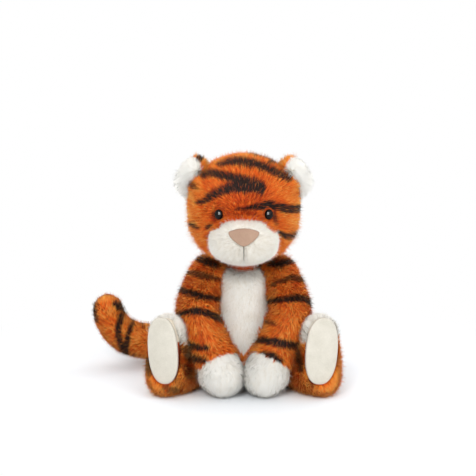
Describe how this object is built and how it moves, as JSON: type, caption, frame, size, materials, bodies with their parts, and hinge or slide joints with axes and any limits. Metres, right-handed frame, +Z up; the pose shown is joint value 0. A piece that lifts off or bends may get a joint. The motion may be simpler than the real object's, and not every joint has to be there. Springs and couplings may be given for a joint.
{
  "type": "plush tiger",
  "caption": "Sitting plush tiger: sewn pile covers over stuffing, safety eyes, suede nose and soles, with a head, arms, legs and tail that move on their seams.",
  "frame": {"origin": "on the floor, at the middle of the flat spot under the body", "axes": "+Z up, the toy faces -Y, and +X is the toy's own left"},
  "size_m": [0.2486, 0.1473, 0.23],
  "materials": {
    "orange_pile": "matte",
    "cream_pile": "matte",
    "sole_suede": "matte",
    "nose_suede": "matte",
    "mouth_thread": "matte",
    "eye_plastic": "gloss",
    "washer_plastic": "matte",
    "white_stuffing": "matte",
    "pouch_cloth": "matte"
  },
  "bodies": {
    "torso": {"torso_shell": "orange_pile", "belly_panel": "cream_pile", "torso_filling": "white_stuffing", "bean_bag": "pouch_cloth"},
    "neck": {"neck_filling": "white_stuffing"},
    "head": {"head_shell": "orange_pile", "head_filling": "white_stuffing", "muzzle_panel": "cream_pile", "nose_patch": "nose_suede", "mouth_stitch": "mouth_thread", "eye_left": "eye_plastic", "eye_right": "eye_plastic", "eye_washer_left": "washer_plastic", "eye_washer_right": "washer_plastic", "ear_back_left": "orange_pile", "ear_back_right": "orange_pile", "ear_lining_left": "cream_pile", "ear_lining_right": "cream_pile"},
    "arm_left": {"arm_sleeve_left": "orange_pile", "paw_left": "cream_pile", "arm_filling_left": "white_stuffing"},
    "arm_right": {"arm_sleeve_right": "orange_pile", "paw_right": "cream_pile", "arm_filling_right": "white_stuffing"},
    "leg_left": {"leg_sleeve_left": "orange_pile", "foot_sleeve_left": "orange_pile", "toe_cap_left": "cream_pile", "sole_left": "sole_suede", "leg_filling_left": "white_stuffing"},
    "leg_right": {"leg_sleeve_right": "orange_pile", "foot_sleeve_right": "orange_pile", "toe_cap_right": "cream_pile", "sole_right": "sole_suede", "leg_filling_right": "white_stuffing"},
    "tail": {"tail_sleeve": "orange_pile", "tail_filling": "white_stuffing"}
  },
  "joints": [
    {"name": "head_turn", "type": "hinge", "parent": "torso", "child": "neck", "pos_m": [0, -0.004, 0.118], "axis": [0, 0, 1], "range_deg": [-25, 25]},
    {"name": "head_nod", "type": "hinge", "parent": "neck", "child": "head", "pos_m": [0, -0.004, 0.118], "axis": [-1, 0, 0], "range_deg": [-7, 7]},
    {"name": "shoulder_left", "type": "hinge", "parent": "torso", "child": "arm_left", "pos_m": [0.03468, 0, 0.11], "axis": [-1, 0, 0], "range_deg": [0, 40]},
    {"name": "shoulder_right", "type": "hinge", "parent": "torso", "child": "arm_right", "pos_m": [-0.03468, 0, 0.11], "axis": [-1, 0, 0], "range_deg": [0, 40]},
    {"name": "hip_left", "type": "hinge", "parent": "torso", "child": "leg_left", "pos_m": [0.03923, 0, 0.0205], "axis": [0, 0, 1], "range_deg": [0, 25]},
    {"name": "hip_right", "type": "hinge", "parent": "torso", "child": "leg_right", "pos_m": [-0.03923, 0, 0.0205], "axis": [0, 0, -1], "range_deg": [0, 25]},
    {"name": "tail_swing", "type": "hinge", "parent": "torso", "child": "tail", "pos_m": [0, 0.03773, 0.022], "axis": [0, 0, -1], "range_deg": [0, 60]}
  ]
}
